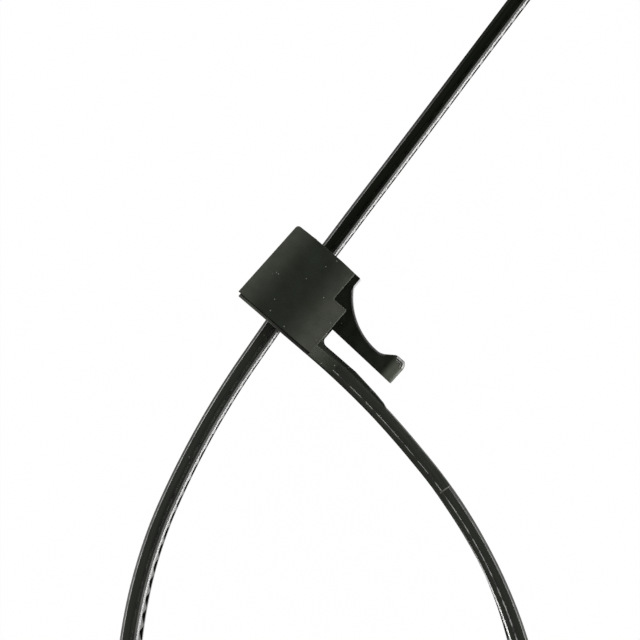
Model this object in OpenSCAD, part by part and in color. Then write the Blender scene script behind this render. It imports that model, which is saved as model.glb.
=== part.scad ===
// Releasable cable tie, closed into a loop, lying on the side of its head.
// One moulding: head, rocking release lever on its thin web, toothed strap and plain tip.
// Millimetres. X runs along the strap's root, Y along the slot towards the tail, Z across the strap.
// Z = 0 is the head's lower side, X = 0 is where the strap's middle enters the slot, and Y = 0 is
// half way up the head. The modules below measure Y from the head's foot.

/* [Strap] */
// strap width across the flat
strap_w = 7.6; // [3:0.1:12]
// strap thickness, rails included
strap_t = 1.73; // [1:0.01:3]
// bevel on the two corners of the smooth outer face
bevel_out = 0.29; // [0.05:0.01:0.6]
// bevel on the two corners of the toothed face
bevel_in = 0.19; // [0.05:0.01:0.5]
// depth of the parting line under the outer face
parting_d = 1.1; // [0.6:0.01:2]
// how far the toothed half stands out past the parting line
parting_step = 0.04; // [0.01:0.01:0.2]

/* [Teeth] */
// distance from one tooth to the next
tooth_pitch = 1.9; // [1:0.01:3]
// width of the toothed channel between the rails
channel_w = 5.2; // [1.5:0.1:9]
// depth of the toothed channel
channel_d = 0.45; // [0.2:0.01:0.8]
// length of the steep side of a tooth along the strap
tooth_lean = 0.14; // [0:0.01:0.4]
// how far the teeth stay below the rails
tooth_clear = 0.03; // [0.01:0.01:0.15]
// flat left on top of a tooth
tooth_land = 0.25; // [0.05:0.01:0.6]
// flat left between two teeth
tooth_gap = 0.2; // [0.05:0.01:0.6]
// plain length of strap between the slot's middle and the first tooth
plain_len = 24.4; // [14:0.1:50]

/* [Loop] */
// straight length of strap on either side of the corner at the head
neck_len = 5.4; // [5:0.1:15]
// height of the strap's middle above the foot, at its root
root_y = 0.835; // [0.7:0.005:1]
// where the strap's middle crosses that height, back from the slot's middle
root_x = 0.05; // [0:0.01:0.3]
// length of the strap's bend at the mouth of the slot
nip_len = 2.4; // [1:0.1:5]
// first bend, radius to the strap's middle
bend_r1 = 94.3; // [40:0.1:200]
// first bend, how far it turns
bend_a1 = 10.8; // [2:0.1:20]
// second bend, radius
bend_r2 = 55.2; // [30:0.1:120]
// second bend, how far it turns
bend_a2 = 19.2; // [5:0.1:30]
// third bend, radius
bend_r3 = 40; // [20:0.1:80]
// third bend, how far it turns
bend_a3 = 34.8; // [10:0.1:45]

/* [Tail] */
// lean of the strap where it enters the slot, away from the lever
lean_in = 6.1; // [0:0.1:10]
// lean of the strap where it has left the slot
lean_out = 3.6; // [0:0.1:10]
// length of strap past the corner at the head, tip included
tail_len = 72; // [35:0.5:200]
// length of the plain tapered tip
tip_len = 19; // [8:0.5:40]
// width of the tip at its end
tip_w = 4.2; // [1.5:0.1:7]
// thickness of the tip
tip_t = 1.2; // [0.6:0.01:2]
// number of grip ribs on the tip
tip_ribs = 5; // [0:1:8]
// distance from one grip rib to the next
rib_pitch = 1.6; // [1:0.1:3]
// width of a grip rib
rib_w = 0.5; // [0.2:0.05:1]
// height of a grip rib
rib_h = 0.3; // [0.1:0.05:0.6]

/* [Head] */
// head width across the strap
head_w = 11; // [5:0.1:18]
// head height along the slot
head_h = 9.8; // [7:0.1:14]
// how far the head's top is crowned
head_crown = 0.11; // [0:0.01:0.4]
// from the slot's middle to the head's back, at the foot
head_back = 4.9; // [3.5:0.1:8]
// how much the back leans in from foot to top
head_draft = 0.2; // [0:0.01:0.6]
// rounding of the head's upper back corner
head_round = 0.35; // [0.1:0.01:1]
// from the slot's middle to the front of the side walls
wall_front = 3.22; // [2.6:0.01:4]
// from the slot's middle to the front of the hinge cheeks
cheek_front = 5.05; // [4.6:0.01:7]
// height of the hinge cheeks
cheek_h = 6.3; // [4.8:0.1:7.5]
// height of the foot plate under the parting line
foot_h = 0.3; // [0.1:0.01:0.8]
// how far the foot plate is set in
foot_in = 0.15; // [0.05:0.01:0.4]
// length of the tapered neck in front of the cheeks
taper_len = 3.2; // [1:0.1:6]
// how far the neck's upper side stands above the strap
neck_swell = 0.17; // [0.05:0.01:0.4]
// length over which that swelling dies away
swell_len = 10.4; // [4:0.1:12]
// rounding between the cheeks and the top of the neck
neck_round = 0.7; // [0.2:0.05:1.2]

/* [Slot] */
// side play of the strap in the slot, each side
slot_side = 0.2; // [0.1:0.01:0.5]
// from the slot's middle to its back wall
slot_back = 1.95; // [1.8:0.01:2.6]
// from the slot's middle to the hinge block
slot_front = 1.6; // [1.3:0.01:2.4]
// bevel that leads the strap into the slot
slot_lead = 0.4; // [0.1:0.01:0.8]
// height of the hinge block
block_h = 3.1; // [2.4:0.1:3.3]

/* [Lever] */
// side play of the lever between the walls, each side
lever_side = 0.3; // [0.1:0.01:0.8]
// from the slot's middle to the end of the thumb pad
lever_reach = 13.65; // [9:0.05:20]
// height of the lever's underside above the foot, at the hinge
lever_low = 3.78; // [3.5:0.01:4.2]
// drop of the lever's underside at the thumb pad
lever_drop = 0.35; // [0:0.01:0.8]
// height of the thumb pad above the foot
pad_top = 6.18; // [5:0.01:7]
// radius of the hollow in the lever's back
hollow_r = 7.48; // [5.5:0.05:8]
// how far the hollow's lowest point is from the slot's middle
hollow_x = 10.3; // [8.5:0.01:11]
// height of the hollow's lowest point
hollow_low = 5.17; // [4.6:0.01:5.4]
// radius of the tighter hollow in front of the thumb pad
pad_r = 1.6; // [1:0.05:2.5]
// slope of the rise from that hollow to the thumb pad
pad_slope = 36; // [20:0.5:60]
// from the slot's middle to the front of the lever's top lip
lip_front = 3.94; // [3.4:0.01:4.6]
// height of the lever's top
lip_top = 9.82; // [9:0.01:11]
// height of the lip at the lever's top
lip_h = 1.3; // [0.6:0.05:2]
// thickness of the web that the lever rocks on
web_t = 0.6; // [0.3:0.05:1]
// from the slot's middle to the middle of the web
web_x = 4.15; // [3.4:0.05:4.6]
// how far the lever's arm stays clear of the strap
arm_clear = 0.35; // [0.2:0.01:0.6]
// number of teeth on the lever
pawl_teeth = 3; // [1:1:4]
// how deep the lever's teeth reach between the strap's teeth
pawl_reach = 0.25; // [0.1:0.01:0.4]
// play between the lever's teeth and the strap's teeth
pawl_play = 0.09; // [0.05:0.01:0.2]
// length of the root of a tooth on the lever
pawl_root = 0.5; // [0.3:0.05:0.8]
// length of the tip of a tooth on the lever
pawl_tip = 0.12; // [0.05:0.01:0.3]
// width of the lever's teeth
pawl_w = 4.6; // [1:0.1:8]

/* [Hidden] */
$fn = 96;
nylon = [0.10, 0.10, 0.09];
mid_z = head_w / 2;
half_t = strap_t / 2;
half_w = strap_w / 2;
floor_u = channel_d - half_t;
cavity_w = strap_w + 2 * slot_side;
lever_w = cavity_w - 2 * lever_side;

// The strap's middle line: a list of straights and bends, all turning the same way.
// Both halves of the loop are alike, and the lowest bend is the one that closes it.
half_turn = (90 - lean_in) / 2;
corner = [-root_x, root_y, 0];
rest = half_turn + 90 - bend_a1 - bend_a2 - bend_a3;
function bend_x(r, from, turn) = r * (cos(from + turn) - cos(from));
side_x = neck_len * sin(half_turn) + bend_x(bend_r1, -half_turn, bend_a1)
    + bend_x(bend_r2, bend_a1 - half_turn, bend_a2)
    + bend_x(bend_r3, bend_a1 + bend_a2 - half_turn, bend_a3);
bend_r0 = side_x / cos(90 - rest);
head_turn = lean_in - lean_out;
nip_r = nip_len / (head_turn * PI / 180);
bends = [[bend_r1, bend_a1], [bend_r2, bend_a2], [bend_r3, bend_a3], [bend_r0, 2 * rest],
    [bend_r3, bend_a3], [bend_r2, bend_a2], [bend_r1, bend_a1]];
runs = concat([[0, neck_len]], bends,
    [[0, neck_len - nip_len / 2], [nip_r, head_turn], [0, tail_len - nip_len / 2]]);

function run_len(r) = r[0] == 0 ? r[1] : r[0] * r[1] * PI / 180;
function run_end(p, r) = r[0] == 0
    ? [p.x + r[1] * cos(p.z), p.y + r[1] * sin(p.z), p.z]
    : [p.x + r[0] * (sin(p.z) - sin(p.z - r[1])), p.y - r[0] * (cos(p.z) - cos(p.z - r[1])), p.z - r[1]];
states = [for (i = 0, p = corner; i <= len(runs); p = i < len(runs) ? run_end(p, runs[i]) : p, i = i + 1) p];
starts = [for (i = 0, s = 0; i <= len(runs); s = i < len(runs) ? s + run_len(runs[i]) : s, i = i + 1) s];
loop_len = starts[9] + nip_len / 2;
end_len = loop_len + tail_len;
teeth_end = end_len - tip_len;

// Place and heading at a length along the strap, and a point beside it.
function run_at(s) = max([for (k = [0:len(runs) - 1]) if (k == 0 || s >= starts[k]) k]);
function at(s) = let (i = run_at(s), d = s - starts[i], r = runs[i][0])
    run_end(states[i], r == 0 ? [0, d] : [r, d / r * 180 / PI]);
function beside(s, u) = let (p = at(s)) [p.x - u * sin(p.z), p.y + u * cos(p.z)];

// Cross-section: first coordinate out of the loop, second across the strap.
// Every other length of strap is a hair slimmer and laps into its neighbours, so that all join cleanly.
slim = 0.012;
lap = 0.3;
module mirrored(half) {
    last = len(half) - 1;
    polygon(concat(half, [for (i = [0:last]) [half[last - i].x, -half[last - i].y]]));
}

module toothed_section(less) {
    out = half_t - less;
    wide = half_w - less;
    side = wide - parting_step;
    ledge = out - parting_d;
    mirrored([[out, side - bevel_out], [out - bevel_out, side], [ledge, side],
        [ledge, wide], [bevel_in - out, wide], [-out, wide - bevel_in],
        [-out, channel_w / 2 + less], [floor_u + less, channel_w / 2 + less]]);
}

module plain_section(less) {
    out = half_t - less;
    wide = half_w - less;
    side = wide - parting_step;
    ledge = out - parting_d;
    mirrored([[out, side], [ledge, side], [ledge, wide], [bevel_in - out, wide], [-out, wide - bevel_in]]);
}

module section(toothed, less) {
    if (toothed) toothed_section(less);
    else plain_section(less);
}

// One cross-section carried along the middle line from one length to another.
module sweep(from, to, toothed) {
    for (i = [0:len(runs) - 1]) {
        thin = (i + (toothed ? 0 : 1)) % 2 == 1;
        less = thin ? slim : 0;
        more = thin ? lap : 0;
        a = max(from, starts[i]);
        b = min(to, starts[i + 1]);
        if (b - a > 0.01) {
            r = runs[i][0];
            size = b - a + 2 * more;
            if (r == 0) {
                q = run_end(states[i], [0, a - more - starts[i]]);
                translate([q.x, q.y, mid_z]) rotate([0, 0, q.z]) rotate([90, 0, 90])
                    linear_extrude(height = size) section(toothed, less);
            } else {
                turn = size / r * 180 / PI;
                q = states[i];
                last = q.z - (b + more - starts[i]) / r * 180 / PI;
                translate([q.x + r * sin(q.z), q.y - r * cos(q.z), mid_z]) rotate([0, 0, last + 90])
                    rotate_extrude(angle = turn) translate([r, 0]) section(toothed, less);
            }
        }
    }
}

// All the strap's teeth in one strip that is sunk into the channel's floor.
module strap_teeth() {
    first = plain_len + tooth_pitch;
    count = floor((teeth_end - first) / tooth_pitch);
    low = floor_u - 0.04;
    top = tooth_clear - half_t;
    end = tooth_pitch - tooth_gap;
    sunk = floor_u + 0.18;
    teeth = [for (i = [0:count - 1]) let (s = first + i * tooth_pitch) each [
        beside(s, low), beside(s + tooth_lean, top), beside(s + tooth_lean + tooth_land, top),
        beside(s + end, low)]];
    back = [for (i = [0:count]) beside(first + (count - i) * tooth_pitch, sunk)];
    translate([0, 0, mid_z - channel_w / 2 - 0.1])
        linear_extrude(height = channel_w + 0.2) polygon(concat(teeth, back));
}

// Plain tip: a thin tapered tongue with a round end and grip ribs on the toothed side.
module strap_tip() {
    p = at(teeth_end);
    blunt = tip_w / 2;
    translate([p.x, p.y, mid_z]) rotate([0, 0, p.z]) {
        translate([0, half_t - 0.05, 0]) rotate([90, 0, 0]) linear_extrude(height = tip_t) {
            polygon([[-0.6, -half_w + 0.4], [0, -half_w + 0.4], [tip_len - blunt, -blunt],
                [tip_len - blunt, blunt], [0, half_w - 0.4], [-0.6, half_w - 0.4]]);
            translate([tip_len - blunt, 0]) circle(r = blunt);
        }
        if (tip_ribs > 0)
            for (i = [0:tip_ribs - 1])
                translate([tip_len - blunt - i * rib_pitch - rib_w, half_t - tip_t - rib_h, -blunt + 0.3])
                    cube([rib_w, rib_h + 0.2, tip_w - 0.6]);
    }
}

// The head's outline seen from the side: back wall, side walls, cheeks and foot.
module head_outline() {
    r = head_round;
    back_top = head_back - head_draft;
    difference() {
        polygon([[-head_back, foot_h], [cheek_front, foot_h], [cheek_front, cheek_h],
            [wall_front, cheek_h], [wall_front, head_h], [0.4 * wall_front, head_h + head_crown],
            [-0.4 * back_top, head_h + head_crown], [-back_top, head_h]]);
        translate([-back_top - 1, head_h - r]) difference() {
            square([r + 1, r + 1]);
            translate([r + 1, 0]) circle(r = r);
        }
    }
}

// Room inside the head: the slot, the space for the lever's arm, and the lead-in bevels.
module head_room() {
    polygon([[-slot_back - slot_lead, -1], [-slot_back - slot_lead, 0], [-slot_back, slot_lead],
        [-slot_back, head_h - slot_lead], [-slot_back - slot_lead, head_h],
        [-slot_back - slot_lead, head_h + 1],
        [cheek_front + 9, head_h + 1], [cheek_front + 9, block_h], [slot_front, block_h],
        [slot_front, slot_lead], [slot_front + slot_lead, 0], [slot_front + slot_lead, -1]]);
}

module head() {
    difference() {
        union() {
            linear_extrude(height = head_w) head_outline();
            translate([-head_back + 2 * foot_in, 0, foot_in])
                cube([head_back + cheek_front - 2 * foot_in, foot_h + 0.5, head_w - 2 * foot_in]);
        }
        translate([0, 0, mid_z - cavity_w / 2]) linear_extrude(height = cavity_w) head_room();
    }
    neck();
}

// Tapered neck: the root of the strap widens to the head, with a rounded corner above it.
module neck() {
    wide = head_w / 2 - foot_in;
    x0 = cheek_front - 0.4;
    translate([0, strap_t - 0.25, mid_z]) rotate([90, 0, 0]) linear_extrude(height = strap_t - 0.37)
        polygon([[x0, -wide], [cheek_front, -wide], [cheek_front + taper_len, -half_w + 0.1],
            [cheek_front + taper_len, half_w - 0.1], [cheek_front, wide], [x0, wide]]);
    top = strap_t + neck_swell;
    translate([0, 0, mid_z - half_w + 0.2]) linear_extrude(height = strap_w - 0.4) {
        difference() {
            translate([x0, strap_t - 0.3]) square([neck_round + 0.4, top + neck_round - strap_t + 0.3]);
            translate([cheek_front + neck_round, top + neck_round]) circle(r = neck_round);
        }
        polygon([[x0, root_y], [x0, top], [cheek_front + 0.48 * swell_len, top - 0.02],
            beside(cheek_front + swell_len - 0.7, half_t + 0.03),
            beside(cheek_front + swell_len, half_t - 0.25), beside(cheek_front + swell_len, 0)]);
    }
}

// The rocking lever: arm beside the strap, top lip, hollow back, thumb pad, and the web below.
module lever() {
    ramp_x = hollow_x + pad_r * sin(pad_slope);
    ramp_y = hollow_low + pad_r * (1 - cos(pad_slope));
    pad_x = ramp_x + (pad_top - ramp_y) / tan(pad_slope);
    s_foot = loop_len + lever_low + 0.05 - half_t;
    s_top = loop_len + lip_top - half_t;
    inner_u = -half_t - arm_clear;
    translate([0, 0, mid_z - lever_w / 2]) linear_extrude(height = lever_w) {
        difference() {
            polygon([[web_x + 0.9, lever_low], [lever_reach - 0.05, lever_low - lever_drop],
                [lever_reach, pad_top - 0.75], [lever_reach - 0.1, pad_top - 0.35],
                [lever_reach - 0.4, pad_top], [pad_x + 0.12, pad_top], [pad_x - 0.12, pad_top - 0.1],
                [ramp_x, ramp_y], [hollow_x, hollow_low + pad_r], [hollow_x, hollow_low + hollow_r],
                [lip_front, lip_top - lip_h], [lip_front - 0.6, lip_top], beside(s_top, inner_u - 0.3),
                beside(s_top - 0.5, inner_u), beside(s_foot, inner_u), [slot_front + 0.9, lever_low]]);
            intersection() {
                translate([hollow_x, hollow_low + hollow_r]) circle(r = hollow_r);
                translate([-1, 0]) square([hollow_x + 1, lip_top + 9]);
            }
            translate([hollow_x, hollow_low + pad_r]) circle(r = pad_r);
        }
        translate([lip_front - 1.2, lip_top - lip_h]) square([1.2, lip_h]);
    }
    translate([web_x - web_t / 2, block_h - 0.3, mid_z - lever_w / 2 + 0.3])
        cube([web_t, lever_low - block_h + 0.6, lever_w - 0.6]);
    lever_teeth(inner_u);
}

// Teeth on the lever, set between the strap's teeth with a little play.
module lever_teeth(inner_u) {
    first = plain_len + tooth_pitch;
    middle = loop_len + (lever_low + lip_top) / 2 - half_t + 0.75;
    k = ceil((middle - first) / tooth_pitch - pawl_teeth / 2);
    tip_u = pawl_reach - half_t;
    grow = tooth_lean * (tip_u - inner_u) / (channel_d - tooth_clear);
    translate([0, 0, mid_z - pawl_w / 2]) linear_extrude(height = pawl_w) intersection() {
        union() for (i = [0:pawl_teeth - 1]) {
            s = first + (k + i) * tooth_pitch - pawl_play;
            polygon([beside(s - 0.05, tip_u), beside(s + grow - 0.05, inner_u - 0.2),
                beside(s - pawl_root, inner_u - 0.2), beside(s - pawl_root, inner_u),
                beside(s - 0.05 - pawl_tip, tip_u)]);
        }
        translate([-2, lever_low + 0.12]) square([5, lip_top]);
    }
}

module cable_tie() {
    color(nylon) translate([0, -head_h / 2, 0]) {
        head();
        lever();
        sweep(slot_front + 0.8, plain_len, false);
        sweep(plain_len, teeth_end, true);
        strap_teeth();
        strap_tip();
    }
}

cable_tie();
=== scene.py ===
import math
import bpy
import bmesh
from mathutils import Matrix, Vector


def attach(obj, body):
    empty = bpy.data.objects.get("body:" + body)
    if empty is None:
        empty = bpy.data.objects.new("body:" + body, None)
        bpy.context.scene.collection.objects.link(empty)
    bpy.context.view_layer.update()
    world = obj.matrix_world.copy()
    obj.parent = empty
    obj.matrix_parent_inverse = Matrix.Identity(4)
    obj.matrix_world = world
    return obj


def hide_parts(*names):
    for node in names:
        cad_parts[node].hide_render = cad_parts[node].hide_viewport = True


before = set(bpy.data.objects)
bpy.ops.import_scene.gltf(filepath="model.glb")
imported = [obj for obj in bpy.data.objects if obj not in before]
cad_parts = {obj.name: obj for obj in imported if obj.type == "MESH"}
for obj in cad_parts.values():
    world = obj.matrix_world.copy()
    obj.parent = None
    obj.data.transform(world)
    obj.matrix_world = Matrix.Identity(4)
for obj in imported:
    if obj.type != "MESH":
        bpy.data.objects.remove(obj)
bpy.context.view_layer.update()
scene = bpy.context.scene

# The camera looks down on the tie, which lies on the side of its head, from a quarter of a metre above.
# The image's left-to-right line is turned 40.6 degrees from the strap's root.
lens = bpy.data.cameras.new("camera")
lens.lens, lens.sensor_width = 129.2, 36
lens.clip_start, lens.clip_end = 0.01, 10
camera = bpy.data.objects.new("camera", lens)
image_turn = math.radians(40.6)
aim, eye = Vector((0.003568, -0.001205, 0.010)), Vector((0.01008, 0.00096, 0.2525))
back = (eye - aim).normalized()
right = Vector((-math.sin(image_turn), math.cos(image_turn), 0)).cross(back).normalized()
camera.location = eye
camera.rotation_euler = Matrix((right, back.cross(right), back)).transposed().to_euler()
scene.collection.objects.link(camera)
scene.camera = camera

# Head: one block of black nylon with the strap's slot through it and side walls that hold the lever.
# It comes from a spark-eroded mould, so its skin is matt and its corners are barely rounded.
# Pieces are drawn in millimetres about the head's foot and the middle of its width.
HALF_HEAD, WALL_Z = 5.5, 4.0
HEAD_BACK, WALL_FRONT, CHEEK_FRONT = -4.9, 3.22, 5.05
FOOT, BLOCK_TOP, CHEEK_TOP, WALL_TOP = 0.4, 3.1, 6.3, 9.8
SLOT_BACK, SLOT_FRONT = -1.95, 1.6
ORIGIN_SHIFT = (0, -4.9, HALF_HEAD)


def flat_face(bm, corners):
    return bm.faces.new([bm.verts.new((x, y, 0)) for x, y in corners])


def thicken(bm, faces, move):
    out = bmesh.ops.extrude_face_region(bm, geom=faces)["geom"]
    bmesh.ops.translate(bm, vec=move, verts=[g for g in out if isinstance(g, bmesh.types.BMVert)])
    return [g for g in out if isinstance(g, bmesh.types.BMFace)]


def round_points(bm, near, radius, steps):
    for x, y in near:
        tip = min(bm.verts, key=lambda v: (v.co.x - x) ** 2 + (v.co.y - y) ** 2)
        bmesh.ops.bevel(bm, geom=[tip], offset=radius, segments=steps, profile=0.5,
                        affect="VERTICES", material=-1)


def soften(bm, width, steps=2, least=28, pick=lambda e: True):
    edges = [e for e in bm.edges
             if e.is_manifold and e.calc_face_angle(0) > math.radians(least) and pick(e)]
    bmesh.ops.bevel(bm, geom=edges, offset=width, offset_type="OFFSET", segments=steps, profile=0.5,
                    affect="EDGES", clamp_overlap=False, material=-1)


def keep(bm, name, materials, sharp=40):
    bmesh.ops.recalc_face_normals(bm, faces=bm.faces[:])
    bmesh.ops.transform(bm, verts=bm.verts[:],
                        matrix=Matrix.Scale(0.001, 4) @ Matrix.Translation(ORIGIN_SHIFT))
    mesh = bpy.data.meshes.new(name)
    bm.to_mesh(mesh)
    bm.free()
    mesh.polygons.foreach_set("use_smooth", [True] * len(mesh.polygons))
    mesh.set_sharp_from_angle(angle=math.radians(sharp))
    for material in materials:
        mesh.materials.append(material)
    piece = bpy.data.objects.new(name, mesh)
    scene.collection.objects.link(piece)
    weigh = piece.modifiers.new("even_light", "WEIGHTED_NORMAL")
    weigh.keep_sharp = True
    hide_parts("cable_tie")
    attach(piece, "root")
    return piece


def add(tree, kind, values=None, **settings):
    made = tree.nodes.new(kind)
    for key, value in settings.items():
        setattr(made, key, value)
    for key, value in (values or {}).items():
        if isinstance(value, bpy.types.NodeSocket):
            tree.links.new(value, made.inputs[key])
        else:
            made.inputs[key].default_value = value
    return made


def effect(name, takes, gives):
    tree = bpy.data.node_groups.new(name, "ShaderNodeTree")
    for word, kind in takes:
        tree.interface.new_socket(name=word, in_out="INPUT", socket_type="NodeSocket" + kind)
    for word, kind in gives:
        tree.interface.new_socket(name=word, in_out="OUTPUT", socket_type="NodeSocket" + kind)
    return tree, tree.nodes.new("NodeGroupInput").outputs, tree.nodes.new("NodeGroupOutput").inputs


# Fine pits left by the eroded mould, and the slow change of shade over them.
mould_skin, had, out = effect("mould_skin", [("Place", "Vector"), ("Fineness", "Float")],
                              [("Height", "Float"), ("Shade", "Float")])
pits = add(mould_skin, "ShaderNodeTexNoise",
           {"Vector": had["Place"], "Scale": had["Fineness"], "Detail": 3.0})
blotch = add(mould_skin, "ShaderNodeTexNoise",
             {"Vector": had["Place"], "Scale": 0.33, "Detail": 7.0, "Roughness": 0.68})
mould_skin.links.new(pits.outputs[0], out["Height"])
mould_skin.links.new(blotch.outputs[0], out["Shade"])

# Whitish motes and nicks, and painted glints on the thumb pad's rim and along the head's foot: a few of the
# cells in a fine pattern carry a speck near their middle.
dust_and_glints, had, out = effect("dust_and_glints", [("Place", "Vector"), ("Spacing", "Float"), ("Share", "Float"),
                                 ("Size", "Float")], [("Mask", "Float")])
cells = add(dust_and_glints, "ShaderNodeTexVoronoi", {"Vector": had["Place"], "Scale": had["Spacing"]})
chosen = add(dust_and_glints, "ShaderNodeMath", {0: cells.outputs["Color"], 1: had["Share"]}, operation="LESS_THAN")
spot = add(dust_and_glints, "ShaderNodeMapRange", {"Value": cells.outputs["Distance"], "From Min": had["Size"],
                                        "From Max": 0.0})
both = add(dust_and_glints, "ShaderNodeMath", {0: chosen.outputs[0], 1: spot.outputs[0]}, operation="MULTIPLY")
dust_and_glints.links.new(both.outputs[0], out["Mask"])

# Painted light: paler between two distances from a middle value of X, where edges and ends that the lamps
# light more are painted lighter.
painted_light_band, had, out = effect("painted_light_band", [("Place", "Vector"), ("Middle", "Float"),
                                                 ("Start", "Float"), ("End", "Float")],
                                [("Mask", "Float")])
where = add(painted_light_band, "ShaderNodeSeparateXYZ", {0: had["Place"]}).outputs
away = add(painted_light_band, "ShaderNodeMath", {0: where[0], 1: had["Middle"]}, operation="SUBTRACT")
away = add(painted_light_band, "ShaderNodeMath", {0: away.outputs[0]}, operation="ABSOLUTE")
near = add(painted_light_band, "ShaderNodeMapRange", {"Value": away.outputs[0], "From Min": had["Start"],
                                                "From Max": had["End"]}, interpolation_type="SMOOTHSTEP")
patchy = add(painted_light_band, "ShaderNodeTexNoise", {"Vector": had["Place"], "Scale": 0.8, "Detail": 4.0})
patchy = add(painted_light_band, "ShaderNodeMapRange", {"Value": patchy.outputs[0], "From Min": 0.35,
                                                  "From Max": 0.65, "To Min": 0.65, "To Max": 0.9})
lit_share = add(painted_light_band, "ShaderNodeMath", {0: near.outputs[0], 1: patchy.outputs[0]}, operation="MULTIPLY")
painted_light_band.links.new(lit_share.outputs[0], out["Mask"])


def in_mm(tree):
    place = add(tree, "ShaderNodeTexCoord").outputs["Object"]
    return add(tree, "ShaderNodeVectorMath", {0: place, "Scale": 1000.0}, operation="SCALE").outputs[0]


NO_LIGHT_BAND = (0, 90, 91)
SPECK_GREY = (0.8, 0.8, 0.76, 1)


def nylon(name, dark, light, rough, fineness, depth, specks, light_band=NO_LIGHT_BAND, lit_grey=0.08, shine=0.5):
    """Moulded nylon between two greys and two roughnesses, with pits of a fineness and depth in metres,
    specks (spacing, share, size) and a band of painted light (middle, start, end), paler, along X."""
    made = bpy.data.materials.new(name)
    made.use_nodes = True
    tree = made.node_tree
    shader = tree.nodes["Principled BSDF"]
    shader.inputs["IOR"].default_value = 1.5
    shader.inputs["Specular IOR Level"].default_value = shine
    place = in_mm(tree)
    skin = add(tree, "ShaderNodeGroup", {}, node_tree=mould_skin)
    tree.links.new(place, skin.inputs["Place"])
    skin.inputs["Fineness"].default_value = fineness
    spread = add(tree, "ShaderNodeMapRange", {"Value": skin.outputs["Shade"], "From Min": 0.35,
                                              "From Max": 0.65})
    shade = add(tree, "ShaderNodeMix", {0: spread.outputs[0], 6: (*dark, 1), 7: (*light, 1)},
                data_type="RGBA")
    lit_patch = add(tree, "ShaderNodeGroup", {}, node_tree=painted_light_band)
    speck_mask = add(tree, "ShaderNodeGroup", {}, node_tree=dust_and_glints)
    for group, words, values in ((lit_patch, ("Middle", "Start", "End"), light_band),
                                 (speck_mask, ("Spacing", "Share", "Size"), specks)):
        tree.links.new(place, group.inputs["Place"])
        for word, value in zip(words, values):
            group.inputs[word].default_value = value
    lit_colour = (lit_grey, lit_grey * 1.08, lit_grey * 0.85, 1)
    shade = add(tree, "ShaderNodeMix", {0: lit_patch.outputs[0], 6: shade.outputs[2], 7: lit_colour},
                data_type="RGBA")
    top = add(tree, "ShaderNodeMix", {0: speck_mask.outputs[0], 6: shade.outputs[2], 7: SPECK_GREY},
              data_type="RGBA")
    gloss = add(tree, "ShaderNodeMapRange", {"Value": skin.outputs["Shade"], "To Min": rough[0],
                                             "To Max": rough[1]})
    bump = add(tree, "ShaderNodeBump", {"Height": skin.outputs["Height"], "Strength": 0.5,
                                        "Distance": depth})
    tree.links.new(top.outputs[2], shader.inputs["Base Color"])
    tree.links.new(gloss.outputs[0], shader.inputs["Roughness"])
    tree.links.new(bump.outputs[0], shader.inputs["Normal"])
    return made


# Painted light on the head: its grey is painted paler towards its back and its front, the edges that the
# lamps light more.
matt_nylon = nylon("matt_nylon", dark=(0.020, 0.023, 0.0125), light=(0.031, 0.0405, 0.0275),
                   rough=(0.62, 0.8), fineness=6.0, depth=0.00004, specks=(2.6, 0.22, 0.2),
                   light_band=(-0.5, 0.8, 5.2), lit_grey=0.14, shine=0.35)
# Near black: painted shade along the top of the foot's face, under the head's ledge.
foot_groove_shade = nylon("foot_groove_shade", dark=(0.004, 0.005, 0.0035), light=(0.012, 0.013, 0.01),
                   rough=(0.4, 0.6), fineness=6.0, depth=0.00002, specks=(1.6, 0.22, 0.16))
# A lighter grey with dense whitish specks: a painted highlight and painted glints along the rounded edge
# just above the foot.
ledge_highlight = nylon("ledge_highlight", dark=(0.03, 0.032, 0.026), light=(0.12, 0.12, 0.105),
                    rough=(0.35, 0.5), fineness=6.0, depth=0.00002, specks=(2.2, 0.42, 0.7))
# A lighter grey than the head, paler still towards the back: a painted highlight on the foot plate's face
# and rounded rim.
foot_rim_highlight = nylon("foot_rim_highlight", dark=(0.05, 0.052, 0.045), light=(0.09, 0.092, 0.082),
                 rough=(0.35, 0.5), fineness=6.0, depth=0.00002, specks=(2.2, 0.2, 0.4),
                 light_band=(5.0, 3.0, 9.5), lit_grey=0.22)


def everything(bm):
    return bm.verts[:] + bm.edges[:] + bm.faces[:]


def slot_mouth(edge):
    """The edges across the slot where the strap goes in and comes out, which have a wide lead-in."""
    a, b = edge.verts[0].co, edge.verts[1].co
    across = max(abs(a.z), abs(b.z)) < WALL_Z + 0.01 and abs(a.z - b.z) > 7
    back_mouth = abs(a.x - SLOT_BACK) < 0.01 and not 0.01 < a.y < WALL_TOP
    front_mouth = abs(a.x - SLOT_FRONT) < 0.01 and a.y < 0.01
    return across and (back_mouth or front_mouth)


bm = bmesh.new()
crown = [(2.3, 9.86), (1.3, 9.9), (-0.3, 9.91), (-1.9, 9.9), (-3.2, 9.87), (-4.7, WALL_TOP)]
flat_face(bm, [(HEAD_BACK, FOOT), (CHEEK_FRONT, FOOT), (CHEEK_FRONT, CHEEK_TOP), (WALL_FRONT, CHEEK_TOP),
               (WALL_FRONT, WALL_TOP), *crown])
round_points(bm, [crown[-1]], 0.35, 5)
round_points(bm, [(CHEEK_FRONT, CHEEK_TOP), (WALL_FRONT, WALL_TOP), (WALL_FRONT, CHEEK_TOP)], 0.12, 2)
for spot, line in (((SLOT_BACK, 0, 0), (1, 0, 0)), ((SLOT_FRONT, 0, 0), (1, 0, 0)),
                   ((0, BLOCK_TOP, 0), (0, 1, 0))):
    bmesh.ops.bisect_plane(bm, geom=everything(bm), plane_co=spot, plane_no=line)
bmesh.ops.translate(bm, vec=(0, 0, WALL_Z), verts=bm.verts[:])
side = bmesh.ops.extrude_face_region(bm, geom=bm.faces[:], use_keep_orig=True)["geom"]
side = [g for g in side if isinstance(g, bmesh.types.BMVert)]
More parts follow.
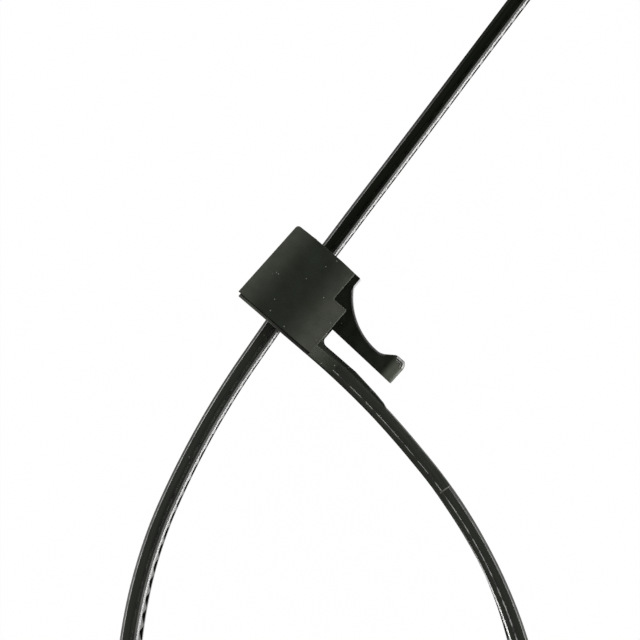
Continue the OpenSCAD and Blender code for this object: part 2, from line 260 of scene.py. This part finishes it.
bmesh.ops.translate(bm, vec=(0, 0, HALF_HEAD - WALL_Z), verts=side)
core = []
for f in bm.faces:
    middle = f.calc_center_median()
    behind, block = middle.x < SLOT_BACK, middle.x > SLOT_FRONT and middle.y < BLOCK_TOP
    if max(v.co.z for v in f.verts) < WALL_Z + 0.01 and (behind or block):
        core.append(f)
ends = thicken(bm, core, (0, 0, -WALL_Z))
bmesh.ops.delete(bm, geom=ends, context="FACES_ONLY")
bmesh.ops.mirror(bm, geom=everything(bm), matrix=Matrix.Identity(4), merge_dist=0.001, axis="Z")
bmesh.ops.remove_doubles(bm, verts=bm.verts[:], dist=0.001)
bmesh.ops.recalc_face_normals(bm, faces=bm.faces[:])
foot = [f for f in bm.faces if f.normal.y < -0.9 and f.calc_center_median().y < FOOT + 0.01]
foot = thicken(bm, foot, (0, 0, 0))
FOOT_BACK, HALF_FOOT = -4.6, 5.35
for v in {v for f in foot for v in f.verts}:
    v.co.x = max(v.co.x, FOOT_BACK)
    v.co.z = max(-HALF_FOOT, min(HALF_FOOT, v.co.z))
thicken(bm, foot, (0, -FOOT, 0))
bmesh.ops.remove_doubles(bm, verts=bm.verts[:], dist=0.001)
bmesh.ops.dissolve_limit(bm, angle_limit=math.radians(1), verts=bm.verts[:], edges=bm.edges[:])
bmesh.ops.recalc_face_normals(bm, faces=bm.faces[:])
soften(bm, 0.4, 1, pick=slot_mouth)
soften(bm, 0.09)
bmesh.ops.bisect_plane(bm, geom=everything(bm), plane_co=(0, FOOT - 0.1, 0), plane_no=(0, 1, 0))
for v in bm.verts:
    v.co.z = max(-HALF_HEAD, min(HALF_HEAD, v.co.z))
# Painted light and shade along the foot: a painted highlight on the head's edge above the ledge, painted
# shade just under it, and a painted highlight on the rest of the foot.
for f in bm.faces:
    middle = f.calc_center_median()
    if middle.y < FOOT + 0.1 and abs(middle.z) > 5.2:
        f.material_index = 2 if middle.y > FOOT + 0.01 else 1 if middle.y > FOOT - 0.1 else 3
keep(bm, "head", [matt_nylon, foot_groove_shade, ledge_highlight, foot_rim_highlight])

# Neck: the root of the strap spreads to the head's full width, with a rounded corner over it.
# It is moulded in one with the head and has the same matt skin, a little duller, painted paler towards the
# head as a painted highlight that carries on the head's lit front.
neck_nylon = nylon("neck_nylon", dark=(0.024, 0.030, 0.019), light=(0.042, 0.048, 0.034),
                   rough=(0.8, 0.95), fineness=6.0, depth=0.00004, specks=(2.6, 0.31, 0.2),
                   light_band=(0.0, 8.4, 4.6), lit_grey=0.13, shine=0.12)
NECK_START, TAPER_END, HALF_NECK, NECK_T = 4.65, 8.25, 3.7, 1.36
CORNER_Z, CORNER_X, CORNER_Y, CORNER_R = 3.6, 5.75, 2.6, 0.7
bm = bmesh.new()
root = flat_face(bm, [(NECK_START, -HALF_FOOT), (CHEEK_FRONT, -HALF_FOOT), (TAPER_END, -HALF_NECK),
                      (TAPER_END, HALF_NECK), (CHEEK_FRONT, HALF_FOOT), (NECK_START, HALF_FOOT)])
thicken(bm, [root], (0, 0, NECK_T))
bmesh.ops.rotate(bm, cent=(0, 0, 0), matrix=Matrix.Rotation(math.radians(-90), 3, "X"), verts=bm.verts[:])
bmesh.ops.translate(bm, vec=(0, 0.12, 0), verts=bm.verts[:])
bmesh.ops.recalc_face_normals(bm, faces=bm.faces[:])
soften(bm, 0.14, 3)
fillet = bm.verts.new((CORNER_X, CORNER_Y - CORNER_R, -CORNER_Z))
first = bmesh.ops.spin(bm, geom=[fillet], cent=(CORNER_X, CORNER_Y, -CORNER_Z), axis=(0, 0, 1),
                       angle=math.radians(-90), steps=8, use_merge=False)["geom_last"][0]
swell = [(NECK_START, CORNER_Y), (NECK_START, 0.84), (15.35, 0.2), (15.4, 0.95), (14.5, 1.29), (13.3, 1.5),
         (12.0, 1.65), (11.0, 1.77), (10.0, 1.88), (7.3, CORNER_Y - CORNER_R)]
rest = [bm.verts.new((x, y, -CORNER_Z)) for x, y in swell]
loop = [bm.edges.new(pair) for pair in zip([first] + rest, rest + [fillet])]
wires = loop + [e for e in bm.edges if e.is_wire and e not in loop]
corner = bmesh.ops.contextual_create(bm, geom=wires)["faces"]
thicken(bm, corner, (0, 0, 2 * CORNER_Z))
keep(bm, "neck", [neck_nylon])

# Strap: about 250 mm of flexible nylon, moulded straight and bent by hand into the loop.
# Its smooth outer side has two bevelled corners, its inner side a toothed channel between rails,
# and the mould's parting line runs along both edges.
HALF_T, HALF_W, FLOOR_U, HALF_CHANNEL = 0.865, 3.8, -0.415, 2.6
PLAIN_END, TICK = 25.4, 0.12
ROOT_LEN, TAIL_LEN, TIP_LEN = 5.4, 72, 19
LEAN_IN = 6.1
half_turn = (90 - LEAN_IN) / 2
bends = [(94.3, 10.8), (55.2, 19.2), (40.0, 34.8)]
reach, way = ROOT_LEN * math.sin(math.radians(half_turn)), -half_turn
for radius, turn in bends:
    reach += radius * (math.cos(math.radians(way + turn)) - math.cos(math.radians(way)))
    way += turn
last_bend = (reach / math.cos(math.radians(way)), 180 - 2 * way)
slot_bend = (1.2 / math.radians(1.25), 2.5)
RUNS = [(0, ROOT_LEN), *bends, last_bend, *bends[::-1], (0, 4.2), slot_bend, (0, 70.8)]
LOOP_LEN = ROOT_LEN * 2 + sum(math.radians(a) * r for r, a in RUNS[1:8])
TEETH_END = LOOP_LEN + TAIL_LEN - TIP_LEN


def bent(s, u):
    """Where a point s along the strap and u out from its middle lies, once the loop is closed.
    A run is a bend's radius and degrees, or 0 and the length of a straight stretch."""
    x, y, way = -0.05, 0.835, 0.0
    for radius, size in RUNS:
        run = math.radians(size) * radius if radius else size
        part = s if run > s or (radius, size) == RUNS[-1] else run
        if radius:
            turn = part / radius
            x += radius * (math.sin(way) - math.sin(way - turn))
            y -= radius * (math.cos(way) - math.cos(way - turn))
            way -= turn
        else:
            x, y = x + part * math.cos(way), y + part * math.sin(way)
        s -= part
        if s <= 0:
            break
    return x - u * math.sin(way), y + u * math.cos(way)


# How far the strap lies out of true, how much thicker it looks, and how far it leans, all in mm by length.
BOW = [(7, 0), (21, -0.19), (60, -0.19), (80, 0), (100, -0.02), (115, -0.02), (130, 0), (154, 0.11),
       (LOOP_LEN, 0), (194, 0), (199, -0.035), (206, -0.065), (222, -0.085), (236, 0)]
SWELL = [(7, 0), (14, -0.07), (24, -0.07), (27, 0), (33, 0), (43, 0.12), (60, 0.12), (75, 0), (128, 0),
         (138, 0.16), (150, 0.12), (186, 0.12), (192, 0.15), (198, 0.12), (205, 0.09), (213, 0.045),
         (225, 0.045), (232, 0)]
LEAN = [(36, 0), (40, 0.06), (44, 0.17), (60, 0.2), (75, 0), (128, 0), (140, -0.05), (148, -0.13),
        (195, -0.13), (220, -0.1), (232, 0)]


def level(s, marks):
    """The value at a length s along the strap, by straight lines between marked lengths."""
    value = marks[0][1]
    for (a, low), (b, high) in zip(marks, marks[1:]):
        value += (high - low) * min(1.0, max(0.0, (s - a) / (b - a)))
    return value


def bend(bm):
    """Bends straight strap parts round the loop, with the small departures of one laid down by hand."""
    straight = bm.verts.layers.float_vector.new("straight")
    for v in bm.verts:
        v[straight] = v.co.copy()
        s, u, z = v.co
        inner = min(1.0, max(0.0, (-u - 0.1) / 0.3))
        far = (HALF_W - z) / (2 * HALF_W)
        x, y = bent(s, u + level(s, BOW) - inner * level(s, SWELL) - far * level(s, LEAN))
        v.co = (x, y, z)


# Light streaks that follow the strap, and dashes that break the painted highlights along its corners.
streaks, had, out = effect("streaks", [("Straight", "Vector")], [("Line", "Float"), ("Dash", "Float")])
long_way = add(streaks, "ShaderNodeVectorMath", {0: had["Straight"], 1: (0.12, 6.0, 6.0)},
               operation="MULTIPLY")
lines = add(streaks, "ShaderNodeTexNoise", {"Vector": long_way.outputs[0], "Scale": 1.0, "Detail": 4.0})
short_way = add(streaks, "ShaderNodeVectorMath", {0: had["Straight"], 1: (0.75, 0.2, 0.2)},
                operation="MULTIPLY")
dashes = add(streaks, "ShaderNodeTexNoise", {"Vector": short_way.outputs[0], "Scale": 1.0, "Detail": 2.5})
streaks.links.new(lines.outputs[0], out["Line"])
streaks.links.new(dashes.outputs[0], out["Dash"])


ALL = 255.0
TAIL_DULL = 0.06
FLECK_GREY = (0.45, 0.45, 0.42, 1)


def strap_nylon(name, greys, rough, breaks=0.0, tail_shine=None):
    """Nylon whose grey and roughness change along the strap, each given at lengths from 0 to ALL mm.
    breaks is how dark its dashes fall, and tail_shine is how much it still mirrors past the head,
    where a corner is scuffed dull."""
    made = bpy.data.materials.new(name)
    made.use_nodes = True
    tree = made.node_tree
    shader = tree.nodes["Principled BSDF"]
    shader.inputs["IOR"].default_value = 1.5
    straight = add(tree, "ShaderNodeAttribute", attribute_name="straight").outputs["Vector"]
    along = add(tree, "ShaderNodeSeparateXYZ", {0: straight}).outputs[0]
    share = add(tree, "ShaderNodeMath", {0: along, 1: ALL}, operation="DIVIDE").outputs[0]
    ramp = add(tree, "ShaderNodeValToRGB", {0: share})
    dull = add(tree, "ShaderNodeValToRGB", {0: share})
    for band, marks in ((ramp.color_ramp, greys), (dull.color_ramp, rough)):
        for length, value in marks:
            element = band.elements[0 if length == 0 else -1]
            if 0 < length < ALL:
                element = band.elements.new(length / ALL)
            soot = max(0.0, 1 - value / 0.1)
            element.color = (value, value * (1.01 + 0.2 * soot), value * (0.96 - 0.2 * soot), 1)
    if tail_shine is not None:
        mirror = add(tree, "ShaderNodeMapRange", {"Value": along, "From Min": 196.0, "From Max": 214.0,
                                                  "To Min": 0.5, "To Max": tail_shine})
        tree.links.new(mirror.outputs[0], shader.inputs["Specular IOR Level"])
    flow = add(tree, "ShaderNodeGroup", {}, node_tree=streaks)
    tree.links.new(straight, flow.inputs["Straight"])
    lift = add(tree, "ShaderNodeMapRange", {"Value": flow.outputs["Line"], "From Min": 0.3, "From Max": 0.7,
                                            "To Min": 0.72, "To Max": 1.28})
    gap = add(tree, "ShaderNodeMapRange", {"Value": flow.outputs["Dash"], "From Min": 0.42, "From Max": 0.52,
                                           "To Min": 1.0 - breaks, "To Max": 1.0})
    amount = add(tree, "ShaderNodeMath", {0: lift.outputs[0], 1: gap.outputs[0]}, operation="MULTIPLY")
    shade = add(tree, "ShaderNodeVectorMath", {0: ramp.outputs[0], "Scale": amount.outputs[0]},
                operation="SCALE")
    speck_mask = add(tree, "ShaderNodeGroup", {"Spacing": 1.3, "Share": 0.24, "Size": 0.14}, node_tree=dust_and_glints)
    tree.links.new(straight, speck_mask.inputs["Place"])
    top = add(tree, "ShaderNodeMix", {0: speck_mask.outputs[0], 6: shade.outputs[0], 7: FLECK_GREY},
              data_type="RGBA")
    bump = add(tree, "ShaderNodeBump", {"Height": flow.outputs["Line"], "Strength": 0.4,
                                        "Distance": 0.00002})
    tree.links.new(top.outputs[2], shader.inputs["Base Color"])
    tree.links.new(dull.outputs[0], shader.inputs["Roughness"])
    tree.links.new(bump.outputs[0], shader.inputs["Normal"])
    return made


wear = [(0, 0.6), (176, 0.6), (190, 0.25), (ALL, 0.25)]
corner_wear = [(0, 0.6), (176, 0.6), (190, 0.3), (200, 0.3), (212, 0.6), (ALL, 0.6)]
sheen = [(0, 0.35), (ALL, 0.3)]
polish = [(0, 0.16), (ALL, 0.16)]
channel_gloss = [(0, 0.7), (60, 0.7), (110, 0.2), (ALL, 0.16)]
tooth_gloss = [(0, 0.7), (60, 0.7), (110, 0.48), (150, 0.4), (180, 0.25), (ALL, 0.15)]
black = [(0, 0.02), (ALL, 0.02)]
# Painted shade: the strap's sides are painted darker on the tail, past the head, than along the loop.
strap_side = strap_nylon("strap_side", [(0, 0.038), (110, 0.044), (176, 0.038), (190, 0.016), (ALL, 0.014)],
                         wear)
# Painted highlight on the outer bevels, lightest along the loop, and painted shade on the tail, where they
# fall near black.
outer_bevel = strap_nylon("outer_bevel", [(0, 0.03), (27, 0.08), (60, 0.1), (110, 0.13), (150, 0.11),
                                          (162, 0.06), (176, 0.035), (190, 0.015), (205, 0.01),
                                          (ALL, 0.005)], corner_wear, breaks=0.15, tail_shine=TAIL_DULL)
# Painted highlight on the parting ledge along the first 70 mm, falling dark by 100 mm.
parting = strap_nylon("parting", [(0, 0.45), (70, 0.5), (100, 0.05), (176, 0.03), (190, 0.012),
                                  (ALL, 0.01)], wear, breaks=0.85)
# Painted highlight: the inner bevels turn near white past 40 mm and stay light grey to the end, where the
# low panels light them.
inner_bevel = strap_nylon("inner_bevel", [(0, 0.02), (36, 0.03), (41, 0.7), (60, 0.75), (90, 0.3),
                                          (ALL, 0.35)], polish)
channel = strap_nylon("channel", black, channel_gloss)
tooth_nylon = strap_nylon("tooth_nylon", black, tooth_gloss)
# Painted highlight on the narrow strip between each outer bevel and its ledge, darkening on the tail.
edge_line = strap_nylon("edge_line", [(0, 0.07), (25, 0.08), (28, 0.22), (40, 0.38), (60, 0.4), (150, 0.5),
                                      (176, 0.5), (190, 0.35), (205, 0.12), (215, 0.02), (ALL, 0.01)],
                        sheen, breaks=0.35, tail_shine=TAIL_DULL)
mould_tick = strap_nylon("mould_tick", [(0, 0.42), (ALL, 0.42)], wear, breaks=0.4)
# Painted highlight on the strip of side beside each inner bevel, lightest on the tail.
inner_strip_highlight = strap_nylon("inner_strip_highlight", [(0, 0.03), (42, 0.04), (60, 0.08), (110, 0.3), (176, 0.28),
                                        (190, 0.36), (208, 0.4), (225, 0.28), (ALL, 0.15)],
                         wear, breaks=0.2)

bm = bmesh.new()
LEDGE_LOW, LEDGE_HIGH, LEDGE_Z, CORNER_FLAT, CORNER_FACE = -0.285, -0.185, 3.76, 0.575, 0.655
half = [(HALF_T, 3.47), (CORNER_FACE, 3.68), (CORNER_FLAT, LEDGE_Z), (LEDGE_HIGH, LEDGE_Z), (-0.2, 3.825),
        (-0.27, 3.825), (LEDGE_LOW, HALF_W), (-0.5, HALF_W), (-0.725, HALF_W), (-HALF_T, 3.68),
        (-HALF_T, HALF_CHANNEL), (FLOOR_U, HALF_CHANNEL)]
STRAP_START = 2.4
around = half + [(u, -z) for u, z in half[::-1]]
outline = bm.faces.new([bm.verts.new((STRAP_START, u, z)) for u, z in around])
cut = outline
for end, cuts in ((PLAIN_END, 21), (PLAIN_END + TICK, 0), (TEETH_END, 210)):
    start = cut.verts[0].co.x
    cut = thicken(bm, [cut], (end - start, 0, 0))[0]
    if cuts:
        rails = [e for e in bm.edges if abs(e.verts[0].co.x - e.verts[1].co.x) > end - start - 0.01]
        bmesh.ops.subdivide_edges(bm, edges=rails, cuts=cuts, use_grid_fill=False)
bmesh.ops.holes_fill(bm, edges=[e for e in bm.edges if e.is_boundary], sides=0)
for v in bm.verts:
    if v.co.x < PLAIN_END + 0.01:
        if abs(v.co.y - HALF_T) < 0.01:
            v.co.z = math.copysign(3.7, v.co.z)
        elif abs(v.co.y - CORNER_FACE) < 0.01:
            v.co.y, v.co.z = 0.7, math.copysign(3.745, v.co.z)
        elif abs(v.co.y - CORNER_FLAT) < 0.01:
            v.co.y = 0.62
        elif abs(v.co.y - FLOOR_U) < 0.01:
            v.co.y = -0.845
    elif v.co.x > 188 and LEDGE_LOW + 0.005 < v.co.y < LEDGE_HIGH - 0.005:
        v.co.z = math.copysign(3.803, v.co.z)
bmesh.ops.recalc_face_normals(bm, faces=bm.faces[:])
SIDE, CORNER, PARTING, RAIL, CHANNEL, HIGHLIGHT_LINE, INNER_HIGHLIGHT, MOULD_TICK = range(8)
for f in bm.faces:
    middle, facing = f.calc_center_median(), f.normal
    across, out = abs(middle.z), middle.y
    if abs(facing.x) > 0.7 or across < 3.3:
        f.material_index = CHANNEL if out < 0 else SIDE
    elif out < -0.73:
        f.material_index = RAIL
    elif -0.3 < out < -0.17 and across > 3.78:
        f.material_index = PARTING
    elif out < -0.5:
        f.material_index = INNER_HIGHLIGHT
    elif out > CORNER_FACE - 0.005 and across < 3.7:
        f.material_index = CORNER
    elif CORNER_FLAT - 0.005 < out < 0.68:
        f.material_index = HIGHLIGHT_LINE
    elif PLAIN_END < middle.x < PLAIN_END + TICK and across > 3.6:
        f.material_index = MOULD_TICK
bend(bm)
keep(bm, "strap", [strap_side, outer_bevel, parting, inner_bevel, channel, edge_line, inner_strip_highlight,
                   mould_tick], 30)

# Teeth: over a hundred small ramps across the channel, steep on the side that the lever's teeth catch.
# They are moulded with the strap, a hair lower than its rails.
FIRST_TOOTH, TOOTH_PITCH, TOOTH_LEN, TOOTH_W = 26.3, 1.9, 1.7, 5.3
TOOTH_TOP, TOOTH_LEAN, TOOTH_LAND, TOOTH_SINK = -0.835, 0.14, 0.25, 0.12
bm = bmesh.new()
ramp = flat_face(bm, [(0, FLOOR_U + TOOTH_SINK), (0, FLOOR_U), (TOOTH_LEAN, TOOTH_TOP),
                      (TOOTH_LEAN + TOOTH_LAND, TOOTH_TOP), (TOOTH_LEN, FLOOR_U),
                      (TOOTH_LEN, FLOOR_U + TOOTH_SINK)])
thicken(bm, [ramp], (0, 0, TOOTH_W))
bmesh.ops.translate(bm, vec=(FIRST_TOOTH, 0, -TOOTH_W / 2), verts=bm.verts[:])
bmesh.ops.recalc_face_normals(bm, faces=bm.faces[:])
soften(bm, 0.04, 1, pick=lambda e: (max(v.co.y for v in e.verts) < -0.8
                                    and abs(e.verts[0].co.z - e.verts[1].co.z) > 5))
tooth = everything(bm)
for i in range(1, int((TEETH_END - FIRST_TOOTH) / TOOTH_PITCH)):
    copy = bmesh.ops.duplicate(bm, geom=tooth)["geom"]
    copy = [g for g in copy if isinstance(g, bmesh.types.BMVert)]
    bmesh.ops.translate(bm, vec=(TOOTH_PITCH * i, 0, 0), verts=copy)
bend(bm)
keep(bm, "strap_teeth", [tooth_nylon], 25)

# Tip: a thin plain tongue with a round end, easy to thread, and five small ribs to grip.
# It is moulded with the strap and polished like the rest of the tail.
TIP_T, TIP_LAP, TIP_ROOT_Z, TIP_END_Z, TIP_TOP = 1.2, 0.6, 3.4, 2.1, 0.815
RIBS, RIB_PITCH, RIB_FROM_END = 5, 1.6, 2.35
bm = bmesh.new()
flat_face(bm, [(-TIP_LAP, -TIP_ROOT_Z), (0, -TIP_ROOT_Z), (TIP_LEN, -TIP_END_Z), (TIP_LEN, TIP_END_Z),
               (0, TIP_ROOT_Z), (-TIP_LAP, TIP_ROOT_Z)])
for end in (-TIP_END_Z, TIP_END_Z):
    round_points(bm, [(TIP_LEN, end)], 1.9, 8)
thicken(bm, bm.faces[:], (0, 0, TIP_T))
bmesh.ops.rotate(bm, cent=(0, 0, 0), matrix=Matrix.Rotation(math.radians(-90), 3, "X"), verts=bm.verts[:])
bmesh.ops.translate(bm, vec=(TEETH_END, TIP_TOP - TIP_T, 0), verts=bm.verts[:])
bmesh.ops.recalc_face_normals(bm, faces=bm.faces[:])
soften(bm, 0.12, 2)
for i in range(RIBS):
    bar = bmesh.ops.create_cube(bm, size=1)["verts"]
    bmesh.ops.scale(bm, vec=(0.5, 0.5, 3.6), verts=bar)
    place = (TEETH_END + TIP_LEN - RIB_FROM_END - RIB_PITCH * i, TIP_TOP - TIP_T - 0.05, 0)
    bmesh.ops.translate(bm, vec=place, verts=bar)
    bmesh.ops.bevel(bm, geom=list({e for v in bar for e in v.link_edges}), offset=0.1, segments=2,
                    profile=0.5, affect="EDGES", material=-1)
bend(bm)
keep(bm, "tip", [strap_side], 35)

# Release lever: a rocker on a thin web, with a hollow back, a top lip and a rounded thumb pad.
# It comes from a smoother part of the mould, and its flat sides are painted darker than the head's as a
# painted dark reflection of that smoother skin.
# The lever's end by the thumb pad is painted paler: a painted highlight where the pad's face rounds off.
lever_nylon = nylon("lever_nylon", dark=(0.010, 0.012, 0.0065), light=(0.027, 0.034, 0.021),
                    rough=(0.35, 0.55), fineness=7.0, depth=0.00002, specks=(2.2, 0.17, 0.16),
                    light_band=(0, 11.9, 12.8), lit_grey=0.19)
# Light greys and dense whitish specks: painted highlights and painted glints on the thumb pad's rounded rim.
thumb_rim_highlight = nylon("thumb_rim_highlight", dark=(0.2, 0.2, 0.19), light=(0.5, 0.5, 0.47), rough=(0.15, 0.28),
                  fineness=2.2, depth=0.00006, specks=(3.0, 0.42, 0.55))
# A grey lighter than the lever: a painted highlight on the rounded rim of the hollow.
hollow_rim_highlight = nylon("hollow_rim_highlight", dark=(0.05, 0.052, 0.046), light=(0.085, 0.087, 0.08), rough=(0.5, 0.6),
                   fineness=7.0, depth=0.00002, specks=(2.2, 0.17, 0.16))
lever_edge = nylon("lever_edge", dark=(0.02, 0.02, 0.018), light=(0.04, 0.04, 0.035), rough=(0.12, 0.2),
                   fineness=7.0, depth=0.00001, specks=(1.5, 0.2, 0.12))
HALF_LEVER, ARM_U, ROCKER_LOW = 3.7, -1.215, 3.78
LIP_FRONT, LIP_FOOT, LIP_TOP = 3.94, 3.91, 9.82
PAD_START, PAD_LOW, PAD_TOP = 12.31, 3.42, 6.18
bm = bmesh.new()
low, long_r, short_r, rise = (10.3, 5.17), 7.48, 1.6, 36.0
lip_foot = low[1] + long_r - math.sqrt(long_r ** 2 - (low[0] - LIP_FOOT) ** 2)
lip_foot = bm.verts.new((LIP_FOOT, lip_foot, 0))
fall = math.asin((low[0] - LIP_FOOT) / long_r)
turn_one = bmesh.ops.spin(bm, geom=[lip_foot], cent=(low[0], low[1] + long_r, 0), axis=(0, 0, 1),
                          angle=fall, steps=26, use_merge=False)["geom_last"][0]
turn_two = bmesh.ops.spin(bm, geom=[turn_one], cent=(low[0], low[1] + short_r, 0), axis=(0, 0, 1),
                          angle=math.radians(rise), steps=8, use_merge=False)["geom_last"][0]
arm_foot = bent(LOOP_LEN + 3.83 - HALF_T, ARM_U)
arm_top = bent(LOOP_LEN + 9.32 - HALF_T, ARM_U)
lip_back = bent(LOOP_LEN + LIP_TOP - HALF_T, ARM_U - 0.3)
pad = [(12.07, 6.08), (PAD_START, PAD_TOP), (13.25, PAD_TOP), (13.55, 5.83), (13.65, 5.43), (13.6, PAD_LOW)]
around = pad + [(CHEEK_FRONT, ROCKER_LOW), (2.5, ROCKER_LOW), arm_foot, arm_top, lip_back,
                (LIP_FRONT, LIP_TOP), (LIP_FRONT, lip_foot.co.y)]
rest = [bm.verts.new((x, y, 0)) for x, y in around]
for pair in zip([turn_two] + rest, rest + [lip_foot]):
    bm.edges.new(pair)
bmesh.ops.contextual_create(bm, geom=bm.edges[:])
round_points(bm, [pad[3], pad[1], pad[2]], 0.12, 3)
thicken(bm, bm.faces[:], (0, 0, 2 * HALF_LEVER))
bmesh.ops.translate(bm, vec=(0, 0, -HALF_LEVER), verts=bm.verts[:])
bmesh.ops.recalc_face_normals(bm, faces=bm.faces[:])


def on_side(edge, *, left, right, above):
    """Whether an edge lies in one of the lever's flat sides, between two lengths and above a height."""
    return all(abs(abs(v.co.z) - HALF_LEVER) < 0.01 and left < v.co.x < right and v.co.y > above
               for v in edge.verts) and abs(edge.verts[0].co.z - edge.verts[1].co.z) < 0.1


pad_rim = [e for e in bm.edges if on_side(e, left=12.25, right=14, above=3.4)]
bmesh.ops.bevel(bm, geom=pad_rim, offset=0.5, segments=6, profile=0.5, affect="EDGES", clamp_overlap=False,
                material=-1)
hollow_rim = [e for e in bm.edges if on_side(e, left=3.95, right=11.3, above=5.1)]
bmesh.ops.bevel(bm, geom=hollow_rim, offset=0.22, segments=3, profile=0.5, affect="EDGES",
                clamp_overlap=False, material=-1)
soften(bm, 0.1, 2, 40, pick=lambda e: not all(v.co.x > 11.2 and v.co.y > 5.0 for v in e.verts))
LEVER_TEETH, TEETH_PASSED, BITE_PLAY, BITE_TOP, BITE_W = 3, 82, 0.09, -0.615, 4.6
for i in range(LEVER_TEETH):
    s = FIRST_TOOTH + TOOTH_PITCH * (TEETH_PASSED + i) - BITE_PLAY
    bite = [(s - 0.05, BITE_TOP), (s + 0.1, ARM_U - 0.2), (s - 0.5, ARM_U - 0.2), (s - 0.5, ARM_U),
            (s - 0.17, BITE_TOP)]
    bite = bm.faces.new([bm.verts.new((*bent(a, b), -BITE_W / 2)) for a, b in bite])
    thicken(bm, [bite], (0, 0, BITE_W))
web = bmesh.ops.create_cube(bm, size=1)["verts"]
bmesh.ops.scale(bm, vec=(0.6, 0.95, 6.8), verts=web)
bmesh.ops.translate(bm, vec=(4.15, 3.42, 0), verts=web)
POLISHED_HOLLOW, THUMB_RIM, HOLLOW_RIM = 1, 2, 3
for f in bm.faces:
    middle = f.calc_center_median()
    tilt = math.degrees(math.acos(min(1.0, abs(f.normal.z))))
    if abs(middle.z) < 3.6 and 3.8 < middle.x < 11.4 and middle.y > 5.0 and f.normal.x > -0.3:
        f.material_index = POLISHED_HOLLOW
    # On the thumb pad's rim, bands of glossy dark nylon alternate with bands of the painted highlight grey,
    # painting highlight streaks.
    if middle.x > 12.3 and middle.y > 5.3 and abs(middle.z) > 3.1 and 1 < tilt < 89:
        f.material_index = POLISHED_HOLLOW if 15 < tilt < 30 or tilt > 58 else THUMB_RIM
    elif 3.95 < middle.x < 11.3 and middle.y > 5.0 and abs(middle.z) > 3.45 and 5 < tilt < 80:
        f.material_index = HOLLOW_RIM
keep(bm, "lever", [lever_nylon, lever_edge, thumb_rim_highlight, hollow_rim_highlight], 35)

# Stage: a white sheet under the tie and a light tent round it, open above where the camera looks in.
# Soft panels stand low at both sides, so the bevelled corners of the strap catch their light.
white = bpy.data.materials.new("white_sheet")
white.use_nodes = True
tree = white.node_tree
paper = tree.nodes["Principled BSDF"]
paper.inputs["Base Color"].default_value = (0.9, 0.9, 0.9, 1)
paper.inputs["Roughness"].default_value = 0.9
glow = add(tree, "ShaderNodeEmission", {"Color": (1, 1, 1, 1), "Strength": 1.0})
ray = add(tree, "ShaderNodeLightPath").outputs
seen = add(tree, "ShaderNodeMath", {0: ray["Is Camera Ray"], 1: ray["Is Glossy Ray"]}, operation="MAXIMUM")
GLOW_SHARE = 0.995
seen = add(tree, "ShaderNodeMath", {0: seen.outputs[0], 1: GLOW_SHARE}, operation="MULTIPLY")
mixed = add(tree, "ShaderNodeMixShader", {0: seen.outputs[0], 1: paper.outputs[0], 2: glow.outputs[0]})
tree.links.new(mixed.outputs[0], tree.nodes["Material Output"].inputs["Surface"])
bm = bmesh.new()
HALF_SHEET, SHEET_GAP = 2.0, 0.00005
bmesh.ops.create_grid(bm, x_segments=1, y_segments=1, size=HALF_SHEET)
bmesh.ops.translate(bm, vec=(0, 0, -SHEET_GAP), verts=bm.verts[:])
sheet = bpy.data.meshes.new("floor")
bm.to_mesh(sheet)
bm.free()
sheet.materials.append(white)
floor = bpy.data.objects.new("floor", sheet)
scene.collection.objects.link(floor)

world = bpy.data.worlds.new("tent")
scene.world = world
world.use_nodes = True
tree = world.node_tree
height = add(tree, "ShaderNodeTexCoord").outputs["Generated"]
height = add(tree, "ShaderNodeSeparateXYZ", {0: height}).outputs[2]
fall = add(tree, "ShaderNodeMapRange", {"Value": height, "From Min": 0.45, "From Max": 0.9,
                                        "To Min": 1.0, "To Max": 0.03})
camera_too = add(tree, "ShaderNodeMath", {0: add(tree, "ShaderNodeLightPath").outputs["Is Camera Ray"],
                                          1: fall.outputs[0]}, operation="MAXIMUM")
tree.links.new(camera_too.outputs[0], tree.nodes["Background"].inputs["Strength"])
middle_of_tie = Vector((0.02, 0, 0))
for name, place, size, power in (("key", (0.42, 0.10, 0.07), (0.3, 0.13), 1.4),
                                 ("fill", (-0.40, 0.0, 0.16), (0.4, 0.2), 0.9),
                                 ("back", (0.05, 0.42, 0.18), (0.4, 0.2), 0.7),
                                 ("front", (-0.16, -0.39, 0.06), (0.16, 0.11), 0.75)):
    panel = bpy.data.lights.new(name, "AREA")
    panel.shape, panel.size, panel.size_y, panel.energy = "RECTANGLE", size[0], size[1], power
    lamp = bpy.data.objects.new(name, panel)
    lamp.location = place
    lamp.rotation_euler = (middle_of_tie - Vector(place)).to_track_quat("-Z", "Y").to_euler()
    scene.collection.objects.link(lamp)

scene.view_settings.view_transform = "Standard"
